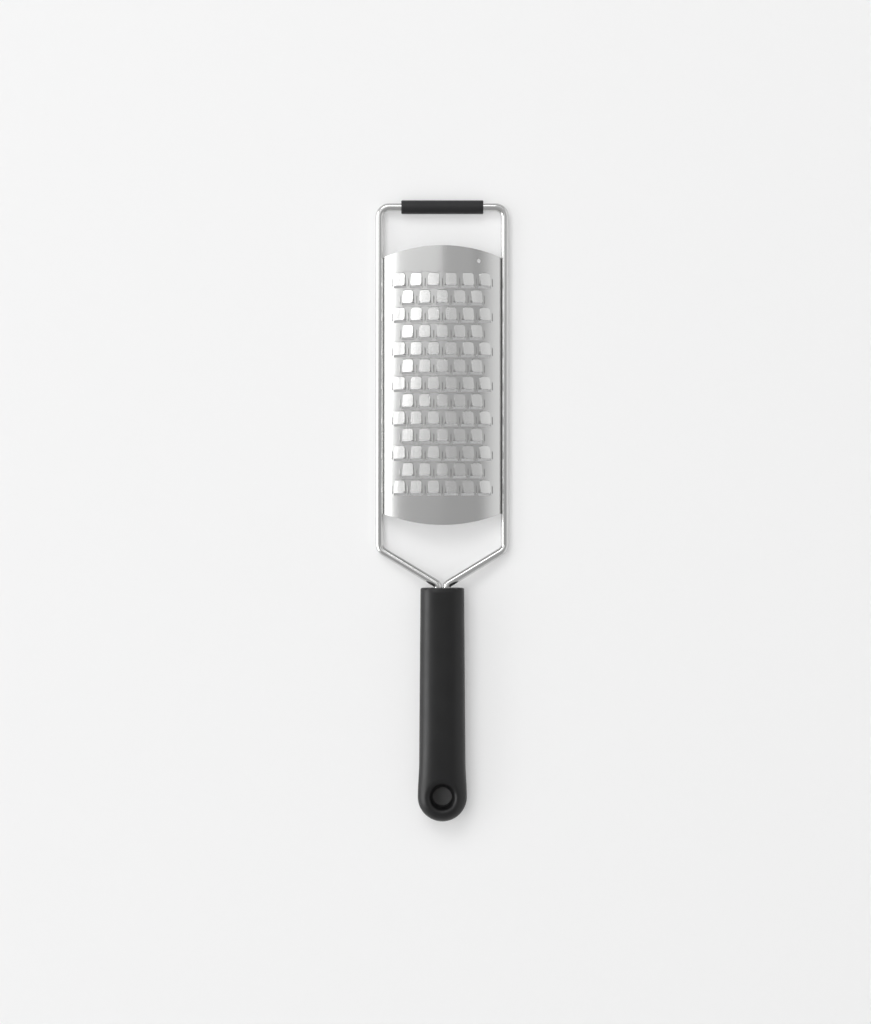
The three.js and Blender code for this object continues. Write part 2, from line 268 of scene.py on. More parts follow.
def sleeveRubber():
    look = {
        "dark": (0.006, 0.006, 0.0066, 1),
        "light": (0.009, 0.009, 0.0097, 1),
        "roughness": (0.52, 0.64),
        "grain": 0.15,
        "grainDepth": 0.06,
        "grainStretch": (0.15, 1.0, 1.0),    # extruded along its length
        "grainScale": 1800.0,
        "grainDetail": 2.0,
        "cloudScale": 200.0,
    }
    material, wiring, shader = newMaterial("mattBlackRubber")
    coords = wiring.add("ShaderNodeTexCoord").outputs["Object"]
    drawn = stretchedNoise(wiring, coords, look["grainStretch"], look["grainScale"], look["grainDetail"])
    cloudy = stretchedNoise(wiring, coords, evenStretch, look["cloudScale"])
    surface(wiring, shader, look, cloudy, drawn)
    wiring.feed(shader.inputs["Base Color"], mixColour(wiring, cloudy, look["dark"], look["light"]))
    return material


# Frame wire: one rod swept along its bent line

wire = {
    "radius": 2.0,
    "tipBend": 4.8,
    "shoulderBend": 4.6,
    "tangBend": 2.4,
    "tangAcross": 2.15,
    "armStandOff": 1.6,     # arms' lines meet the tangs' lines this far in front of the handle
    "armDrop": 19.1,        # shoulders' corners lie this far in front of the handle
    "sides": 40,
    "bendSteps": 18,
    "sharp": 40.0,          # edges turning by more than this many degrees stay sharp
}

sideAcross = wireHigh[0] - wire["radius"]


def wireLine():
    half = [
        ((wire["tangAcross"], wireLow[1], handleHeight), 0.0),
        ((wire["tangAcross"], handleFront + wire["armStandOff"], handleHeight), wire["tangBend"]),
        ((sideAcross, handleFront + wire["armDrop"], frameHeight), wire["shoulderBend"]),
        ((sideAcross, tipAlong, frameHeight), wire["tipBend"]),
    ]
    corners = half + [((-x, y, z), bend) for (x, y, z), bend in reversed(half)]
    data = bpy.data.curves.new("frameWire", "CURVE")
    data.dimensions = "3D"
    spline = data.splines.new("POLY")
    spline.points.add(len(corners) - 1)
    for point, ((x, y, z), bend) in zip(spline.points, corners):
        point.co = (x * mm, y * mm, z * mm, 1)
        point.radius = bend * mm                      # carried to the tree as the corner's bend
    obj = bpy.data.objects.new("frameWire", data)
    bpy.context.scene.collection.objects.link(obj)
    return obj


def wireTree():
    tree, ids = newTree("bentRod", {
        "Rod Radius": "NodeSocketFloat",
        "Rod Sides": "NodeSocketInt",
        "Bend Steps": "NodeSocketInt",
        "Steel": "NodeSocketMaterial",
    })
    wiring = Wiring(tree)
    source = wiring.add("NodeGroupInput").outputs
    bends = wiring.add("GeometryNodeInputRadius").outputs[0]
    given = {"Curve": source["Geometry"], "Count": source["Bend Steps"], "Radius": bends}
    bent = wiring.add("GeometryNodeFilletCurve", given, mode="POLY").outputs[0]
    even = wiring.add("GeometryNodeSetCurveRadius", {"Curve": bent, "Radius": 1.0}).outputs[0]
    length = wiring.add("GeometryNodeSplineParameter").outputs["Length"]
    line = wiring.mark(even, "wireAlong", length)
    given = {"Resolution": source["Rod Sides"], "Radius": source["Rod Radius"]}
    circle = wiring.add("GeometryNodeCurvePrimitiveCircle", given, mode="RADIUS").outputs[0]
    turn = wiring.add("GeometryNodeSplineParameter").outputs["Factor"]
    ring = wiring.mark(circle, "wireAround", turn)
    rod = wiring.add("GeometryNodeCurveToMesh", {"Curve": line, "Profile Curve": ring, "Fill Caps": True})
    real = wiring.add("GeometryNodeRealizeInstances", {"Geometry": rod.outputs[0]})
    done = wiring.add("GeometryNodeSetMaterial", {"Geometry": real.outputs[0], "Material": source["Steel"]})
    wiring.add("NodeGroupOutput", {"Geometry": done.outputs[0]})
    return tree, ids


def buildFrameWire(steel):
    line = wireLine()
    tree, ids = wireTree()
    runTree(line, tree, ids, {
        "Rod Radius": wire["radius"] * mm,
        "Rod Sides": wire["sides"],
        "Bend Steps": wire["bendSteps"],
        "Steel": steel,
    })
    return settle(line, wire["sharp"])


# Blade: a flat blank and a tooth cell, repeated in staggered rows and bent over the section line

blade = {
    "sheet": 0.6,
    "tipGap": 19.8,          # from the tip bar's middle to the blade's end
    "length": 139.0,
    "endRise": 5.5,          # rounded ends bulge past their corners
    "archRadius": 58.3,      # outer skin
    "kneeRadius": 1.4,       # outer skin
    "kneeHeight": 1.7,       # knees' centres above the wires' middles
    "curlRadius": 2.3,       # outer skin, round the wire
    "curlAngle": 75.0,
    "holeAcross": 18.2,
    "holeFromEnd": 7.6,
    "holeRadius": 1.0,
    "holeClearing": 1.45,    # faces this many radii round the hole make way for it
    "holeRim": 2.4,          # and the edges left open lie within this many
    "sectionSteps": (60, 14, 2, 24),   # along half the arch, a knee, a drop and a curl
    "marginSteps": (1, 6, 6, 2, 10),   # the blank's lines beside the teeth: crease, arch, knee, drop, curl
    "bandSteps": 14,         # the blank's lines along each plain end
    "sharp": 28.0,
}

teeth = {
    "rows": 13,
    "wideRow": 6,
    "pitch": 8.6,
    "firstRow": 16.6,        # from the blade's end to the middle of the first hoods
    "hoodMiddle": 0.7,       # a hood's middle, from its cell's middle towards the tip
    "span": 6.8,             # a hood and the sheet drawn into its root
    "drawnIn": 0.2,          # that sheet's own length
    "fall": 0.3,             # steep edge at the root
    "slot": 1.2,             # seen from above, in front of the lip
    "creaseHalf": 0.3,       # half the width of the creases pressed between the hoods of a row
    "creaseDepth": 0.35,
    "creaseStart": 0.8,
    "creaseEnd": -2.95,
    "creaseWall": 0.03,      # its ends are as good as upright
    "topHalf": 2.75,         # half the width of a hood's pad
    "corner": 1.4,           # the root's two corners, seen from above
    "lipCorner": 1.1,        # the lip's two corners
    "bevel": 0.1,
    "bevelDrop": 0.2,
    "flankRun": 0.14,        # flanks spread this much for each unit of height
    "rootHeight": 0.35,
    "lipHeight": 1.9,
    "lines": (0.9, 1.55, 2.15, 2.75, 3.4),   # along half of a flat cell, between those for creases
    "slotLine": 6,           # the slot ends at this line from the cell's middle
    "cornerTurns": (67.5, 45.0, 22.5, 0.0),  # lines across a hood, round its root's corners
    "padSteps": 3,           # then down its pad
    "lipShares": (0.4, 0.7, 0.92),           # and round its lip's corners
    "padShares": (0.0, 0.25, 0.5, 0.75, 1.0),   # lines along half of a pad
    "bevelMost": 0.4,        # share of a hood's height that its bevel may take
    "weld": 0.02,            # cells and blank are joined at points this close
}

bladeTip = tipAlong - blade["tipGap"]
kneeAcross = sideAcross - blade["curlRadius"]
kneeCentreAcross = kneeAcross - blade["kneeRadius"]
kneeCentreHeight = frameHeight + blade["kneeHeight"]
archReach = math.asin(kneeCentreAcross / (blade["archRadius"] - blade["kneeRadius"]))
archCentre = kneeCentreHeight - (blade["archRadius"] - blade["kneeRadius"]) * math.cos(archReach)
endRadius = kneeAcross ** 2 / (2 * blade["endRise"]) + blade["endRise"] / 2


def sectionPieces():
    # right half of the section from the crown: length along the skin and a place for a share of it
    arch = blade["archRadius"] * archReach
    kneeTurn = math.pi / 2 - archReach
    knee = blade["kneeRadius"] * kneeTurn
    drop = blade["kneeHeight"]
    curlTurn = math.radians(blade["curlAngle"])
    curl = blade["curlRadius"] * curlTurn

    def onArch(share):
        angle = archReach * share
        return (blade["archRadius"] * math.sin(angle), archCentre + blade["archRadius"] * math.cos(angle))

    def onKnee(share):
        angle = archReach + kneeTurn * share
        return (kneeCentreAcross + blade["kneeRadius"] * math.sin(angle),
                kneeCentreHeight + blade["kneeRadius"] * math.cos(angle))

    def onDrop(share):
        return (kneeAcross, kneeCentreHeight - drop * share)

    def onCurl(share):
        angle = math.pi + curlTurn * share
        return (sideAcross + blade["curlRadius"] * math.cos(angle),
                frameHeight + blade["curlRadius"] * math.sin(angle))

    lengths = (arch, knee, drop, curl)
    return list(zip(lengths, (onArch, onKnee, onDrop, onCurl), blade["sectionSteps"]))


def skinPlace(along):
    # place on the section line, for a length along the skin from the crown
    rest = abs(along)
    for length, place, _ in sectionPieces():
        if rest <= length:
            break
        rest -= length
    x, z = place(min(rest / length, 1.0))
    return math.copysign(x, along), z


def sectionLine():
    half = [place(step / steps) for _, place, steps in sectionPieces() for step in range(1, steps + 1)]
    crown = [skinPlace(0.0)]
    points = [(-x, z) for x, z in reversed(half)] + crown + half
    data = bpy.data.curves.new("bladeSection", "CURVE")
    data.dimensions = "3D"
    spline = data.splines.new("POLY")
    spline.points.add(len(points) - 1)
    for point, (x, z) in zip(spline.points, points):
        point.co = (x * mm, 0, z * mm, 1)
    obj = bpy.data.objects.new("bladeSection", data)
    bpy.context.scene.collection.objects.link(obj)
    return obj


cellHalf = teeth["pitch"] / 2
cellAcross = (0.0, teeth["creaseHalf"]) + teeth["lines"] + (cellHalf - teeth["creaseHalf"], cellHalf)
cellMiddle = bladeTip - teeth["firstRow"] - teeth["hoodMiddle"]      # first row's cells
footAlong = teeth["hoodMiddle"] + teeth["span"] / 2 - teeth["drawnIn"]   # places in a cell, towards the tip
crestAlong = footAlong - teeth["fall"]
cornerAlong = crestAlong - teeth["corner"]
lipAlong = teeth["hoodMiddle"] - teeth["span"] / 2
lipStart = lipAlong + teeth["lipCorner"]
slotAlong = lipAlong - teeth["slot"]


def cellLines():
    # where the lines across a cell lie along it, from the tip side
    turns = [cornerAlong + teeth["corner"] * math.sin(math.radians(angle)) for angle in teeth["cornerTurns"]]
    padLength = lipStart - cornerAlong
    pad = [cornerAlong + padLength * step / teeth["padSteps"] for step in range(1, teeth["padSteps"] + 1)]
    lip = [lipStart - teeth["lipCorner"] * share for share in teeth["lipShares"]]
    crease = [teeth["creaseStart"] + teeth["creaseWall"], teeth["creaseStart"],
              teeth["creaseEnd"], teeth["creaseEnd"] - teeth["creaseWall"]]
    ends = [cellHalf, footAlong, crestAlong, lipAlong, slotAlong, -cellHalf]
    return sorted(ends + turns + pad + lip + crease, reverse=True)


def creaseDrop(along):
    return teeth["creaseDepth"] if teeth["creaseEnd"] <= along <= teeth["creaseStart"] else 0.0


def creaseSide(along):
    return [(cellHalf - teeth["creaseHalf"], 0.0), (cellHalf, -creaseDrop(along))]


def flatLine(along):
    return [(across, 0.0) for across in cellAcross[:-2]] + creaseSide(along)


def hoodLine(along):
    # across half a hood: a flat pad, a small bevel, a steep flank, then the bare sheet
    past = max(along - cornerAlong, 0.0)
    rise = max(crestAlong - along, 0.0) / (crestAlong - lipAlong)
    top = teeth["rootHeight"] + (teeth["lipHeight"] - teeth["rootHeight"]) * rise
    middle = teeth["topHalf"] - teeth["corner"]
    pad = middle + math.sqrt(max(teeth["corner"] ** 2 - past ** 2, 0.0))
    reach = teeth["corner"] + teeth["fall"]
    spread = math.sqrt(max(reach ** 2 - past ** 2, 0.0)) / reach
    foot = middle + (teeth["corner"] + teeth["flankRun"] * top) * spread
    if along == footAlong:
        top = 0.0
        foot = pad + teeth["bevel"]
    nearLip = max(lipStart - along, 0.0)
    pad -= teeth["lipCorner"] - math.sqrt(max(teeth["lipCorner"] ** 2 - nearLip ** 2, 0.0))
    edge = pad - teeth["bevel"]
    shoulder = top - min(teeth["bevelDrop"], teeth["bevelMost"] * top)
    line = [(edge * share, top) for share in teeth["padShares"]]
    return line + [(pad, shoulder), (foot, 0.0)] + creaseSide(along)


def toothCell():
    along = cellLines()
    verts = []
    for v in along:
        line = hoodLine(v) if lipAlong <= v <= footAlong else flatLine(v)
        both = [(-u, h) for u, h in reversed(line[1:])] + line
        verts += [(u * mm, v * mm, h * mm) for u, h in both]
    faces = []
    middleColumn = len(cellAcross) - 1
    count = 2 * middleColumn + 1
    openColumns = range(middleColumn - teeth["slotLine"], middleColumn + teeth["slotLine"])
    for row in range(len(along) - 1):
        for column in range(count - 1):
            if slotAlong < along[row] <= lipAlong and column in openColumns:
                continue
            start = row * count + column
            faces.append((start, start + count, start + count + 1, start + 1))
    return meshObject("toothCell", verts, faces)


fieldHalf = teeth["wideRow"] * teeth["pitch"] / 2
fieldTop = cellMiddle + cellHalf
fieldBottom = fieldTop - teeth["rows"] * teeth["pitch"]


def blankAcross():
    # lines across the flat blank: the cells' own, then the plain margins and the curled edges
    cell = [-u for u in reversed(cellAcross[1:])] + list(cellAcross)
    middles = [(place + 0.5) * teeth["pitch"] - fieldHalf for place in range(teeth["wideRow"])]
    inner = [middle + u for middle in middles for u in cell[:-1]] + [fieldHalf]
    marks = [fieldHalf, fieldHalf + teeth["creaseHalf"]]
    reach = 0.0
    for length, _, _ in sectionPieces():
        reach += length
        marks.append(reach)
    outer = []
    for start, end, count in zip(marks, marks[1:], blade["marginSteps"]):
        outer += [start + (end - start) * step / count for step in range(1, count + 1)]
    return [-value for value in reversed(outer)] + inner + outer


def endAlong(across):
    x, _ = skinPlace(across)
    return endRadius - math.sqrt(endRadius ** 2 - x ** 2)


def flatBlank():
    across = blankAcross()
    bandSteps = blade["bandSteps"]
    rows = []
    tips = [bladeTip - endAlong(u) for u in across]
    for step in range(bandSteps):
        share = step / bandSteps
        rows.append([(u, tip + (fieldTop - tip) * share, 0) for u, tip in zip(across, tips)])
    lines = cellLines()
    for row in range(teeth["rows"]):
        middle = cellMiddle - row * teeth["pitch"]
        side = fieldHalf - cellHalf * (row % 2)
        for line in lines[:-1]:
            drops = [creaseDrop(line) if math.isclose(abs(u), side) else 0.0 for u in across]
            rows.append([(u, middle + line, -drop) for u, drop in zip(across, drops)])
    heels = [bladeTip - blade["length"] + endAlong(u) for u in across]
    for step in range(bandSteps + 1):
        share = step / bandSteps
        rows.append([(u, fieldBottom + (heel - fieldBottom) * share, 0) for u, heel in zip(across, heels)])
    verts = [(u * mm, v * mm, h * mm) for row in rows for u, v, h in row]
    count = len(across)
    faces = []
    for row in range(len(rows) - 1):
        toothRow = (row - bandSteps) // (len(lines) - 1)
        inField = 0 <= toothRow < teeth["rows"]
        half = fieldHalf - cellHalf * (toothRow % 2)
        for column in range(count - 1):
            middle = abs(across[column] + across[column + 1]) / 2
            if inField and middle < half:
                continue
            start = row * count + column
            faces.append((start, start + count, start + count + 1, start + 1))
    obj = meshObject("graterBlade", verts, faces)
    pierceHole(obj.data)
    return obj


def pierceHole(mesh):
    # a round hole in the flat blank: nearby faces make way for a ring that is bridged to them
    centreAcross = blade["archRadius"] * math.asin(blade["holeAcross"] / blade["archRadius"]) * mm
    centreAlong = (bladeTip - blade["holeFromEnd"]) * mm
    radius = blade["holeRadius"] * mm

    def isNear(place, radii):
        return max(abs(place.x - centreAcross), abs(place.y - centreAlong)) < radii * radius

    work = bmesh.new()
    work.from_mesh(mesh)
    near = [face for face in work.faces if isNear(face.calc_center_median(), blade["holeClearing"])]
    bmesh.ops.delete(work, geom=near, context="FACES")
    rim = []
    for edge in work.edges:
        if edge.is_boundary and all(isNear(vert.co, blade["holeRim"]) for vert in edge.verts):
            rim.append(edge)
    rimVerts = {vert for edge in rim for vert in edge.verts}
    ring = {}
    for vert in rimVerts:
        angle = math.atan2(vert.co.y - centreAlong, vert.co.x - centreAcross)
        ring[vert] = work.verts.new((centreAcross + radius * math.cos(angle),
                                     centreAlong + radius * math.sin(angle), 0))
    for edge in rim:
        first, second = edge.verts
        work.faces.new((first, second, ring[second], ring[first]))
    bmesh.ops.delete(work, geom=[v for v in work.verts if not v.link_faces], context="VERTS")
    bmesh.ops.recalc_face_normals(work, faces=work.faces)
    if sum(face.normal.z for face in work.faces) < 0:
        bmesh.ops.reverse_faces(work, faces=work.faces)
    work.to_mesh(mesh)
    work.free()


def bladeTree():
    tree, ids = newTree("toothedSheet", {
        "Tooth Cell": "NodeSocketObject",
        "Section Line": "NodeSocketObject",
        "Half Section": "NodeSocketFloat",
        "Pitch": "NodeSocketFloat",
        "Rows": "NodeSocketInt",
        "Teeth In Wide Row": "NodeSocketInt",
        "Field Middle": "NodeSocketFloat",
        "Weld": "NodeSocketFloat",
        "Steel": "NodeSocketMaterial",
    })
    wiring = Wiring(tree)
    source = wiring.add("NodeGroupInput").outputs
    pitch = source["Pitch"]
    wide = wiring.math("MULTIPLY", wiring.math("SUBTRACT", source["Teeth In Wide Row"], 1.0), pitch)
    tall = wiring.math("MULTIPLY", wiring.math("SUBTRACT", source["Rows"], 1.0), pitch)
    grid = wiring.add("GeometryNodeMeshGrid", {
        "Size X": wide, "Size Y": tall,
        "Vertices X": source["Teeth In Wide Row"], "Vertices Y": source["Rows"],
    })
    place = wiring.placeParts()
    fromTop = wiring.math("SUBTRACT", wiring.math("MULTIPLY", tall, 0.5), place["Y"])
    row = wiring.math("ROUND", wiring.math("DIVIDE", fromTop, pitch))
    odd = wiring.math("MODULO", row, 2.0)
    quarter = wiring.math("MULTIPLY", pitch, 0.25)
    lastPlace = wiring.math("SUBTRACT", wiring.math("MULTIPLY", wide, 0.5), quarter)
    spare = wiring.math("MULTIPLY", odd, wiring.math("GREATER_THAN", place["X"], lastPlace))
    given = {"Geometry": wiring.mark(grid.outputs["Mesh"], "oddRow", odd),
             "Selection": wiring.math("GREATER_THAN", spare, 0.5)}
    kept = wiring.add("GeometryNodeDeleteGeometry", given, domain="POINT", mode="ALL")
    oddRow = wiring.add("GeometryNodeInputNamedAttribute", {"Name": "oddRow"}, data_type="FLOAT").outputs[0]
    shift = wiring.math("MULTIPLY", oddRow, wiring.math("MULTIPLY", pitch, 0.5))
    step = wiring.add("ShaderNodeCombineXYZ", {"X": shift, "Y": source["Field Middle"]}).outputs[0]
    staggered = wiring.add("GeometryNodeSetPosition", {"Geometry": kept.outputs[0], "Offset": step})
    cell = wiring.add("GeometryNodeObjectInfo", {"Object": source["Tooth Cell"]})
    placed = wiring.add("GeometryNodeInstanceOnPoints",
                        {"Points": staggered.outputs[0], "Instance": cell.outputs["Geometry"]})
    cells = wiring.add("GeometryNodeRealizeInstances", {"Geometry": placed.outputs[0]})
    joined = wiring.add("GeometryNodeJoinGeometry", {"Geometry": cells.outputs[0]})
    tree.links.new(source["Geometry"], joined.inputs["Geometry"])
    sheet = wiring.add("GeometryNodeMergeByDistance",
                       {"Geometry": joined.outputs[0], "Distance": source["Weld"]})

    section = wiring.add("GeometryNodeObjectInfo", {"Object": source["Section Line"]})
    flat = wiring.placeParts()
    reach = wiring.math("ADD", flat["X"], source["Half Section"])
    sample = wiring.add("GeometryNodeSampleCurve",
                        {"Curves": section.outputs["Geometry"], "Length": reach}, mode="LENGTH")
    normal = wiring.vector("CROSS_PRODUCT", sample.outputs["Tangent"], (0.0, 1.0, 0.0))
    raised = wiring.add("ShaderNodeVectorMath", {0: normal, "Scale": flat["Z"]}, operation="SCALE").outputs[0]
    along = wiring.add("ShaderNodeCombineXYZ", {"Y": flat["Y"]}).outputs[0]
    over = wiring.vector("ADD", wiring.vector("ADD", sample.outputs["Position"], raised), along)
    bent = wiring.add("GeometryNodeSetPosition", {"Geometry": sheet.outputs[0], "Position": over})
    real = wiring.add("GeometryNodeRealizeInstances", {"Geometry": bent.outputs[0]})
    done = wiring.add("GeometryNodeSetMaterial", {"Geometry": real.outputs[0], "Material": source["Steel"]})
    wiring.add("NodeGroupOutput", {"Geometry": done.outputs[0]})
    return tree, ids


def buildBlade(steel):
    cell = toothCell()
    section = sectionLine()
    blank = flatBlank()
    tree, ids = bladeTree()
    runTree(blank, tree, ids, {
        "Tooth Cell": cell,
        "Section Line": section,
        "Half Section": section.data.splines[0].calc_length() / 2,
        "Pitch": teeth["pitch"] * mm,
        "Rows": teeth["rows"],
        "Teeth In Wide Row": teeth["wideRow"],
        "Field Middle": (fieldTop + fieldBottom) / 2 * mm,
        "Weld": teeth["weld"] * mm,
        "Steel": steel,
    })
    wall = blank.modifiers.new("sheetThickness", "SOLIDIFY")
    wall.thickness = blade["sheet"] * mm
    wall.offset = -1.0      # below the outer skin
    wall.use_even_offset = True
    piece = settle(blank, blade["sharp"])
    dropHelper(cell)
    dropHelper(section)
    return piece


# Tip sleeve: a cut length of rubber tube

sleeve = {
    "edge": 0.45,            # rounding of its ends
    "boreGap": 0.05,         # round the wire
    "sides": 72,
    "edgeSteps": 5,
    "spans": (-0.6, -0.2, 0.2, 0.6),   # rings between the ends, as shares of half its length
    "sharp": 50.0,
}


def turned(name, profile, sides, axisAlong, axisUp):
    # a profile of (across, radius) points turned about a line along X
    verts = []
    for x, radius in profile:
        for side in range(sides):
            angle = 2 * math.pi * side / sides
            y = axisAlong + radius * math.cos(angle)
            z = axisUp + radius * math.sin(angle)
            verts.append((x * mm, y * mm, z * mm))
    faces = []
    rings = len(profile)
    for ring in range(rings):
        here = ring * sides
        after = (ring + 1) % rings * sides
        for side in range(sides):
            beside = (side + 1) % sides
            faces.append((here + side, here + beside, after + beside, after + side))
    obj = meshObject(name, verts, faces)
    faceOutwards(obj)
    return obj


def buildSleeve(rubber):
    outer = (sleeveHigh[2] - sleeveLow[2]) / 2
    bore = wire["radius"] + sleeve["boreGap"]
    end = (sleeveHigh[0] - sleeveLow[0]) / 2
    edge = sleeve["edge"]
    right = []
    for step in range(sleeve["edgeSteps"] + 1):
        angle = math.pi / 2 * step / sleeve["edgeSteps"]
        right.append((end - edge + edge * math.sin(angle), outer - edge + edge * math.cos(angle)))
    spans = [(end - edge) * share for share in sleeve["spans"]]
    left = [(-x, radius) for x, radius in reversed(right)]
    profile = [(-end, bore)] + left + [(x, outer) for x in spans] + right + [(end, bore)]
    obj = turned("tipSleeve", profile, sleeve["sides"], tipAlong, frameHeight)
    obj.data.materials.append(rubber)
    return settle(obj, sleeve["sharp"])


# Handle: a smooth moulded body, drawn to a rule for its distance from the surface

handle = {
    "neckWidth": 21.8,
    "waistWidth": 23.1,
    "tailThickness": 15.5,
    "taper": 32.0,           # over which the grip thins towards the tail
    "flare": 18.0,           # over which it widens to the tail
    "fullness": 2.35,        # power of the section's oval
    "frontEdge": 0.9,        # rounding of the front face's edge
    "holeRadius": 4.75,
    "holeNeck": 1.0,         # above this height from the middle the hole widens
    "holeSpread": 0.38,      # by this much for each unit of height
    "holeEdge": 2.6,         # rounding of the mouths
    "grid": 0.6,
    "socketGap": 0.3,        # round the wire's ends
    "socketSteps": 20,
    "socketPast": 4.0,       # its tool reaches this far out of the front
    "sharp": 40.0,
    # the coarse block that the grid is made from
    "blockSides": 48,
    "blockRings": 90,
    "blockGap": 0.4,         # the last ring's distance from the tail's end
    "blockLeast": 0.02,      # of the square of a ring's size, at the tail
    "blockWidth": 0.95,      # of the full width
    "blockThickness": 0.85,  # of the full thickness
    "blockSharp": 180.0,     # it stays smooth all over
    "holeRoom": 0.6,         # the block's hole is this much larger in radius
    "holeSteps": 47,
    "holePast": 5.0,         # its tool reaches this far out at both ends
    # how the grid's points are drawn onto the surface
    "rounds": 12,
    "probe": 0.01,           # step for measuring the slope
    "leastSlope": 0.05,      # of the square of the slope
    "longestMove": 0.4,
}

tailRadius = handleHigh[0]
tailMiddle = handleLow[1] + tailRadius


def eased(values):
    values = np.clip(values, 0, 1)
    return values * values * (3 - 2 * values)


def blended(first, second, reach):
    # the larger of two distances, with the edge between them rounded
    near = np.maximum(reach - np.abs(first - second), 0) / reach
    return np.maximum(first, second) + near * near * reach / 4


def handleDistance(p):
    x, y, z = p[:, 0], p[:, 1], p[:, 2] - handleHeight
    flareStart = tailMiddle + handle["flare"]
    swell = np.clip((handleFront - y) / (handleFront - flareStart), 0, 1)
    width = handle["neckWidth"] + (handle["waistWidth"] - handle["neckWidth"]) * swell
    flare = eased((flareStart - y) / handle["flare"])
    width = (width + (2 * tailRadius - handle["waistWidth"]) * flare) / 2
    thin = eased((tailMiddle + handle["taper"] - y) / handle["taper"])
    thick = (2 * handleHeight + (handle["tailThickness"] - 2 * handleHeight) * thin) / 2
    past = np.minimum(y - tailMiddle, 0)
    spread = np.hypot(x, past) / width
    power = handle["fullness"]
    oval = (spread ** power + np.abs(z / thick) ** power) ** (1 / power)
    body = (oval - 1) * thick
    front = blended(body, y - handleFront, handle["frontEdge"])
    spread = handle["holeSpread"]
    above = np.maximum(z - handle["holeNeck"], 0)
    bore = handle["holeRadius"] + spread * (np.hypot(above, 1) - 1)
    hole = (bore - np.hypot(x, y - tailMiddle)) / math.hypot(1, spread)
    return blended(front, hole, handle["holeEdge"])


def ontoSurface(points):
    # walks each point down the slope of the distance until it lies on the surface
    small = handle["probe"]
    for _ in range(handle["rounds"]):
        here = handleDistance(points)
        slope = np.empty_like(points)
        for axis in range(3):
            step = np.zeros(3)
            step[axis] = small
            slope[:, axis] = (handleDistance(points + step) - handleDistance(points - step)) / (2 * small)
        steep = np.maximum((slope * slope).sum(axis=1), handle["leastSlope"])
        move = -(here / steep)[:, None] * slope
        size = np.linalg.norm(move, axis=1)[:, None]
        longest = handle["longestMove"]
        points = points + move * (longest / np.maximum(size, longest))
    return points


def handleBlock():
    # coarse rings close to the surface, for the even grid that is then drawn onto it
    sides = handle["blockSides"]
    rings = []
    for y in np.linspace(handleFront, handleLow[1] + handle["blockGap"], handle["blockRings"]):
        past = min(y - tailMiddle, 0)
        share = math.sqrt(max(1 - (past / tailRadius) ** 2, handle["blockLeast"]))
        ring = []
        for side in range(sides):
            angle = 2 * math.pi * side / sides
            x = tailRadius * handle["blockWidth"] * share * math.cos(angle)
            z = handleHeight * (1 + handle["blockThickness"] * share * math.sin(angle))
            ring.append((x, y, z))
        rings.append(ring)
    verts = [(x * mm, y * mm, z * mm) for ring in rings for x, y, z in ring]
    faces = [tuple(range(sides)), tuple(reversed(range((len(rings) - 1) * sides, len(rings) * sides)))]
    for ring in range(len(rings) - 1):
        for side in range(sides):
            beside = (side + 1) % sides
            start = ring * sides
            faces.append((start + side, start + sides + side, start + sides + beside, start + beside))
    obj = meshObject("mouldedHandle", verts, faces)
    faceOutwards(obj)
    return obj


def cutter(name, outline, axis, low, high):
    # a straight prism through an outline, along Y or Z
    def place(a, b, level):
        return (a * mm, b * mm, level * mm) if axis == "Z" else (a * mm, level * mm, b * mm)
    count = len(outline)
    verts = [place(a, b, level) for level in (low, high) for a, b in outline]
    faces = [tuple(reversed(range(count))), tuple(range(count, 2 * count))]
    for side in range(count):
        beside = (side + 1) % count
        faces.append((side, beside, count + beside, count + side))
    obj = meshObject(name, verts, faces)
    faceOutwards(obj)
    return obj


def circle(centreA, centreB, radius, start, end, steps):
    angles = [start + (end - start) * step / steps for step in range(steps + 1)]
    return [(centreA + radius * math.cos(a), centreB + radius * math.sin(a)) for a in angles]


def cutAway(obj, tool):
    cut = obj.modifiers.new("cut", "BOOLEAN")
    cut.operation = "DIFFERENCE"
    cut.solver = "EXACT"
    cut.object = tool


def buildHandle(plastic):
    block = handleBlock()
    past = handle["holePast"]
    radius = handle["holeRadius"] + handle["holeRoom"]
    outline = circle(0, tailMiddle, radius, 0, 2 * math.pi, handle["holeSteps"])
    hole = cutter("holeTool", outline, "Z", -past, 2 * handleHeight + past)
    cutAway(block, hole)
    grid = block.modifiers.new("evenGrid", "REMESH")
    grid.mode = "VOXEL"
    grid.voxel_size = handle["grid"] * mm
    piece = settle(block, handle["blockSharp"])
    points = np.empty(len(piece.data.vertices) * 3)
    piece.data.vertices.foreach_get("co", points)
    drawn = ontoSurface(points.reshape(-1, 3) / mm) * mm
    piece.data.vertices.foreach_set("co", drawn.ravel())
    piece.data.update()
    dropHelper(hole)
    rod = wire["radius"] + handle["socketGap"]
    steps = handle["socketSteps"]
    slot = circle(wire["tangAcross"], handleHeight, rod, -math.pi / 2, math.pi / 2, steps)
    slot += circle(-wire["tangAcross"], handleHeight, rod, math.pi / 2, 3 * math.pi / 2, steps)
    socketEnd = wireLow[1] - handle["socketGap"]
    socket = cutter("socketTool", slot, "Y", socketEnd, handleFront + handle["socketPast"])
    cutAway(piece, socket)
    piece = settle(piece, handle["sharp"])
    dropHelper(socket)
    piece.data.materials.clear()
    piece.data.materials.append(plastic)
    return piece


# The pieces, and what they stand for

def dress(piece, node):
    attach(piece, "root")
    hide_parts(node)
    print(piece.name, "made with", len(piece.data.polygons), "faces")


dress(buildFrameWire(wireSteel()), "frame_wire")
dress(buildBlade(bladeSteel()), "grater_blade")
dress(buildSleeve(sleeveRubber()), "tip_sleeve")
dress(buildHandle(handlePlastic()), "handle")


# Studio: pale floor, soft light from the upper left, camera straight above

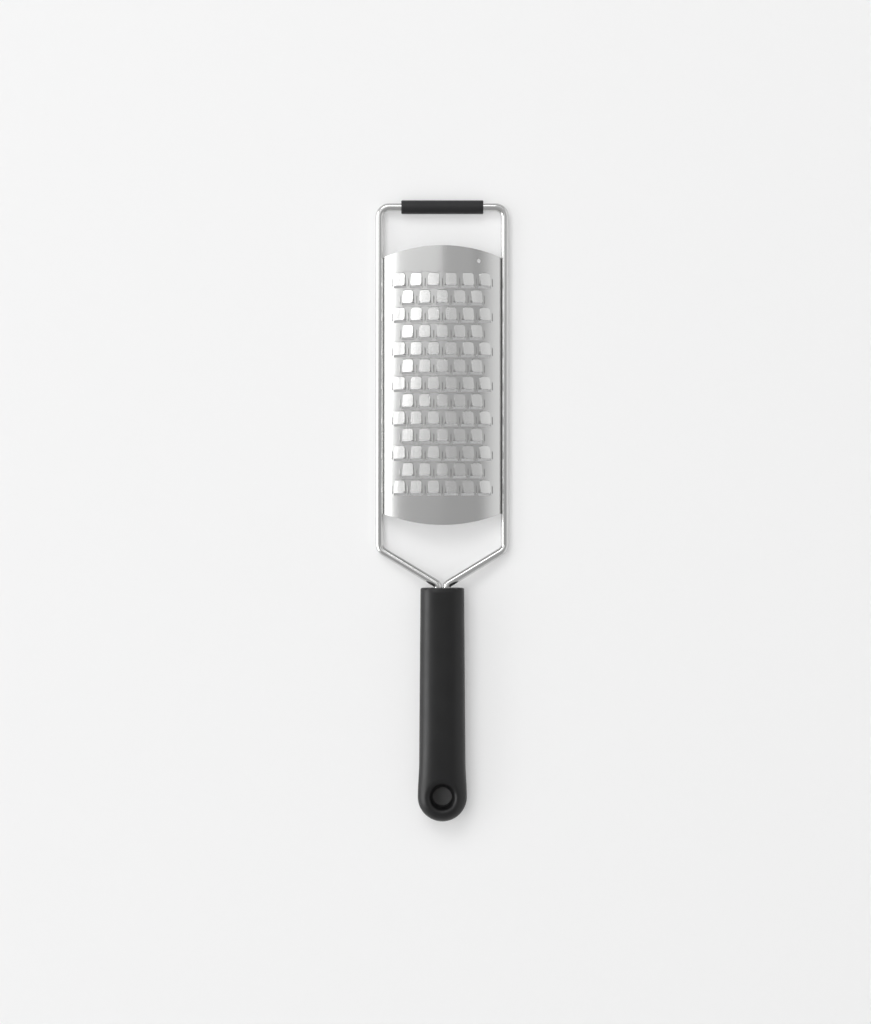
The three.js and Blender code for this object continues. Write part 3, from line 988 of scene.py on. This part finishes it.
studio = {
    "floorSize": 14.0,                   # metres
    "floorColour": (0.90, 0.90, 0.90, 1),
    "floorLift": 0.30,                   # share of the floor that is seen as plain backdrop
    "paintedTailShade": (0.16, 0.16, 0.16, 1),  # painted shade: a dark floor colour under the tail, standing for the shade seen through the hanging hole only
    "unlifted": (6.0, 11.0),             # from the hole's axis, where the painted shade gives way to the open floor
    "backdrop": (0.93, 0.93, 0.93, 1),
    "fill": (0.27, 0.27, 0.27, 1),
    "ceiling": (0.45, 0.45, 0.45, 1),    # what polished steel shows of the room
    "rightWall": (0.95, 0.95, 0.95, 1),
    "leftWall": (4.6, 4.6, 4.6, 1),
    "rightEdge": (0.6, 0.85),            # X of a direction, over which the wall sets in
    "leftEdge": (-0.84, -0.90),
}


def floorMaterial():
    material = bpy.data.materials.new("paleFloor")
    material.use_nodes = True
    tree = material.node_tree
    tree.nodes.clear()
    wiring = Wiring(tree)
    glow = wiring.add("ShaderNodeEmission", {"Color": studio["backdrop"], "Strength": 1.0})
    rays = wiring.add("ShaderNodeLightPath").outputs
    seen = wiring.math("MAXIMUM", rays["Is Camera Ray"], rays["Is Glossy Ray"])
    seen = wiring.math("MAXIMUM", seen, rays["Is Transmission Ray"])
    place = wiring.add("ShaderNodeTexCoord").outputs["Object"]
    fromHole = wiring.add("ShaderNodeVectorMath", {0: place, 1: (0.0, tailMiddle * mm, 0.0)},
                          operation="DISTANCE").outputs["Value"]
    # painted shade: near the hole's axis the floor is coloured dark and left unlifted, standing for the shade
    # under the tail seen through the hanging hole
    near, far = studio["unlifted"]
    outside = smoothShare(wiring, fromHole, near * mm, far * mm)
    colour = mixColour(wiring, outside, studio["paintedTailShade"], studio["floorColour"])
    diffuse = wiring.add("ShaderNodeBsdfDiffuse", {"Color": colour})
    share = wiring.math("MULTIPLY", wiring.math("MULTIPLY", seen, outside), studio["floorLift"])
    mixed = wiring.add("ShaderNodeMixShader", {0: share, 1: diffuse.outputs[0], 2: glow.outputs[0]})
    wiring.add("ShaderNodeOutputMaterial", {"Surface": mixed.outputs[0]})
    return material


def buildFloor():
    half = studio["floorSize"] / 2
    corners = [(-half, -half, 0), (half, -half, 0), (half, half, 0), (-half, half, 0)]
    floor = meshObject("floor", corners, [(0, 1, 2, 3)])
    floor.data.materials.append(floorMaterial())


def buildWorld():
    world = bpy.data.worlds.new("studioRoom")
    world.use_nodes = True
    bpy.context.scene.world = world
    tree = world.node_tree
    tree.nodes.clear()
    wiring = Wiring(tree)
    rays = wiring.add("ShaderNodeLightPath").outputs
    direction = wiring.add("ShaderNodeTexCoord").outputs["Generated"]
    across = wiring.add("ShaderNodeSeparateXYZ", {0: direction}).outputs["X"]
    toRight = smoothShare(wiring, across, *studio["rightEdge"])
    toLeft = smoothShare(wiring, across, *studio["leftEdge"])
    room = mixColour(wiring, toRight, studio["ceiling"], studio["rightWall"])
    room = mixColour(wiring, toLeft, room, studio["leftWall"])
    inSteel = mixColour(wiring, rays["Is Glossy Ray"], studio["fill"], room)
    shown = mixColour(wiring, rays["Is Camera Ray"], inSteel, studio["backdrop"])
    sky = wiring.add("ShaderNodeBackground", {"Color": shown, "Strength": 1.0})
    wiring.add("ShaderNodeOutputWorld", {"Surface": sky.outputs[0]})


ceilingHeight = 4.0     # metres

lamps = [
    # name, low and high corner as shares of the ceiling's height, brightness, shown in the steel
    ("topSoftbox", (-0.95, 0.74), (0.05, 1.35), 4.0, True),
    ("cornerSoftbox", (-1.80, 0.085), (-1.15, 1.10), 2.6, True),
    ("leftSoftbox", (-3.00, -0.90), (-1.40, 0.08), 2.8, True),
    ("topRightCard", (0.05, 0.65), (0.80, 1.35), 0.58, True),
    ("rightCard", (0.85, 0.42), (1.60, 1.20), 0.40, True),
    ("ceilingCard", (-1.15, 0.09), (0.00, 0.48), 0.74, True),
    ("ceilingRightCard", (0.00, 0.06), (0.62, 0.48), 0.12, True),
    ("lowFill", (-0.90, -1.50), (0.70, -0.50), 0.65, False),
    ("sideFill", (-0.65, -0.25), (-0.05, 0.75), 3.95, False),
]


def buildLamps():
    for name, low, high, brightness, inSteel in lamps:
        lamp = bpy.data.lights.new(name, "AREA")
        lamp.shape = "RECTANGLE"
        lamp.size = (high[0] - low[0]) * ceilingHeight
        lamp.size_y = (high[1] - low[1]) * ceilingHeight
        lamp.energy = brightness * math.pi * lamp.size * lamp.size_y
        obj = bpy.data.objects.new(name, lamp)
        bpy.context.scene.collection.objects.link(obj)
        middle = [(a + b) / 2 * ceilingHeight for a, b in zip(low, high)]
        obj.location = (*middle, ceilingHeight)
        obj.visible_camera = False
        obj.visible_glossy = inSteel


view = {
    # metres, apart from the sensor
    "height": 1.6,
    "across": -0.0034,
    "along": -0.00085,
    "field": 0.512,          # seen along the picture's longer side
    "midHeight": 0.0035,     # at this height
    "reach": 50.0,
    "sensor": 36.0,
}


def buildCamera():
    data = bpy.data.cameras.new("camera")
    data.sensor_width = view["sensor"]
    data.lens = view["sensor"] * (view["height"] - view["midHeight"]) / view["field"]
    data.clip_end = view["reach"]
    obj = bpy.data.objects.new("camera", data)
    obj.location = (view["across"], view["along"], view["height"])
    bpy.context.scene.collection.objects.link(obj)
    bpy.context.scene.camera = obj


buildFloor()
buildWorld()
buildLamps()
buildCamera()
bpy.context.scene.view_settings.view_transform = "Standard"
print("studio ready")
